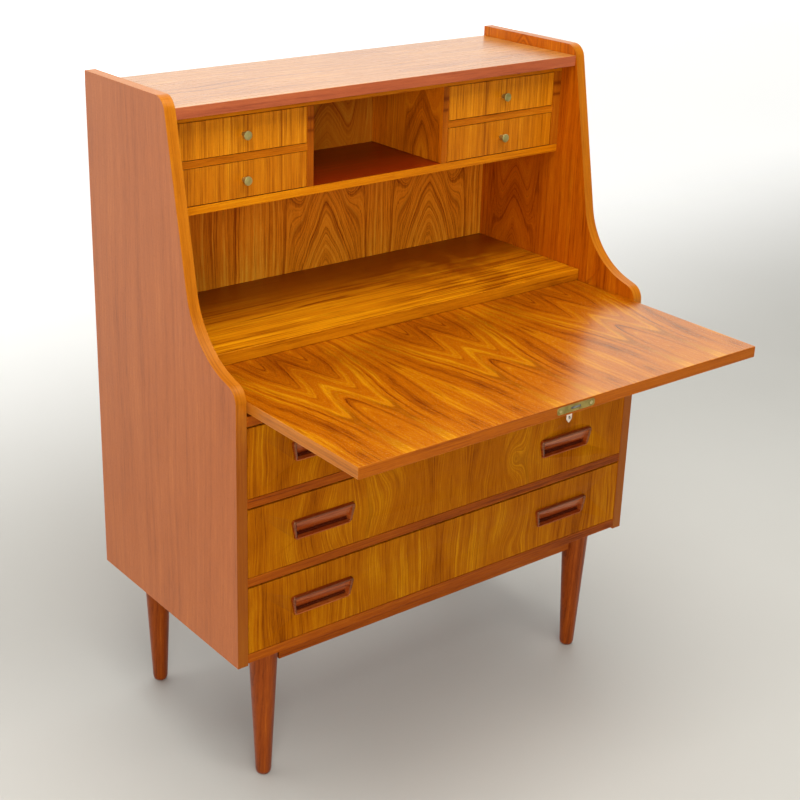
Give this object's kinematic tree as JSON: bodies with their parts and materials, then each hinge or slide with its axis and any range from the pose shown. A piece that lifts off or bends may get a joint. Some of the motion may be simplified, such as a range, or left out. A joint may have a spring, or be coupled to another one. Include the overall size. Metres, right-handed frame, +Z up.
{
  "type": "secretary desk",
  "caption": "Teak drop-front secretary desk: wide drawers on turned tapered legs, a fold-down writing flap between curved sides, and an organiser above.",
  "frame": {"origin": "on the floor, in the middle of the plan box with the writing flap open", "axes": "+Z up, +X to the desk's right as seen from the front, the front towards -Y"},
  "size_m": [0.88, 0.724, 1.156],
  "materials": {
    "teak_side": "satin oiled veneer",
    "teak_front": "satin oiled veneer",
    "teak_flap": "semi-gloss figured veneer",
    "teak_inside": "satin oiled veneer",
    "teak_solid": "satin oiled solid wood",
    "teak_dark": "glossy dark stained wood",
    "drawer_wood": "bare sanded wood",
    "brass": "aged satin",
    "steel": "satin",
    "bone": "smooth"
  },
  "bodies": {
    "case": {"side_left": "teak_side", "side_right": "teak_side", "top_board": "teak_side", "back_panel": "teak_inside", "deck": "teak_inside", "ledge_board": "teak_solid", "bottom_board": "teak_solid", "drawer_frame_lower": "teak_solid", "drawer_frame_upper": "teak_solid", "leg_front_left": "teak_solid", "leg_front_right": "teak_solid", "leg_rear_left": "teak_solid", "leg_rear_right": "teak_solid", "apron_front": "teak_solid", "apron_rear": "teak_solid", "apron_left": "teak_solid", "apron_right": "teak_solid", "organiser_base": "teak_front", "organiser_top": "teak_front", "organiser_divider_left": "teak_front", "organiser_divider_right": "teak_front", "organiser_side_left": "teak_front", "organiser_side_right": "teak_front", "organiser_shelf_left": "teak_solid", "organiser_shelf_right": "teak_solid", "strike_plate": "brass"},
    "flap": {"flap_panel": "teak_flap", "flap_lock": "brass", "flap_escutcheon": "bone", "pivot_pin_left": "steel", "pivot_pin_right": "steel"},
    "flap_bolt": {"flap_lock_bolt": "steel"},
    "drawer_bottom": {"drawer_front_bottom": "teak_front", "drawer_box_bottom": "drawer_wood", "pull_bottom_left": "teak_dark", "pull_bottom_right": "teak_dark"},
    "drawer_middle": {"drawer_front_middle": "teak_front", "drawer_box_middle": "drawer_wood", "pull_middle_left": "teak_dark", "pull_middle_right": "teak_dark", "drawer_lock": "steel", "drawer_escutcheon": "bone"},
    "drawer_top": {"drawer_front_top": "teak_front", "drawer_box_top": "drawer_wood", "pull_top_left": "teak_dark", "pull_top_right": "teak_dark"},
    "drawer_bolt": {"drawer_lock_bolt": "brass"},
    "small_drawer_lower_left": {"small_front_lower_left": "teak_front", "small_tray_lower_left": "drawer_wood", "knob_lower_left": "brass"},
    "small_drawer_lower_right": {"small_front_lower_right": "teak_front", "small_tray_lower_right": "drawer_wood", "knob_lower_right": "brass"},
    "small_drawer_upper_left": {"small_front_upper_left": "teak_front", "small_tray_upper_left": "drawer_wood", "knob_upper_left": "brass"},
    "small_drawer_upper_right": {"small_front_upper_right": "teak_front", "small_tray_upper_right": "drawer_wood", "knob_upper_right": "brass"}
  },
  "joints": [
    {"name": "flap_hinge", "type": "hinge", "parent": "case", "child": "flap", "pos_m": [0, 0.0453, 0.7144], "axis": [1, 0, 0], "range_deg": [-101, 0]},
    {"name": "flap_bolt_slide", "type": "slide", "parent": "flap", "child": "flap_bolt", "axis": [0, -1, 0], "range_m": [0, 0.009]},
    {"name": "drawer_bottom_slide", "type": "slide", "parent": "case", "child": "drawer_bottom", "axis": [0, -1, 0], "range_m": [0, 0.3]},
    {"name": "drawer_middle_slide", "type": "slide", "parent": "case", "child": "drawer_middle", "axis": [0, -1, 0], "range_m": [0, 0.3]},
    {"name": "drawer_top_slide", "type": "slide", "parent": "case", "child": "drawer_top", "axis": [0, -1, 0], "range_m": [0, 0.3]},
    {"name": "drawer_bolt_slide", "type": "slide", "parent": "drawer_middle", "child": "drawer_bolt", "axis": [0, 0, 1], "range_m": [0, 0.0065]},
    {"name": "small_drawer_lower_left_slide", "type": "slide", "parent": "case", "child": "small_drawer_lower_left", "axis": [0, -1, 0], "range_m": [0, 0.13]},
    {"name": "small_drawer_lower_right_slide", "type": "slide", "parent": "case", "child": "small_drawer_lower_right", "axis": [0, -1, 0], "range_m": [0, 0.13]},
    {"name": "small_drawer_upper_left_slide", "type": "slide", "parent": "case", "child": "small_drawer_upper_left", "axis": [0, -1, 0], "range_m": [0, 0.13]},
    {"name": "small_drawer_upper_right_slide", "type": "slide", "parent": "case", "child": "small_drawer_upper_right", "axis": [0, -1, 0], "range_m": [0, 0.13]}
  ]
}
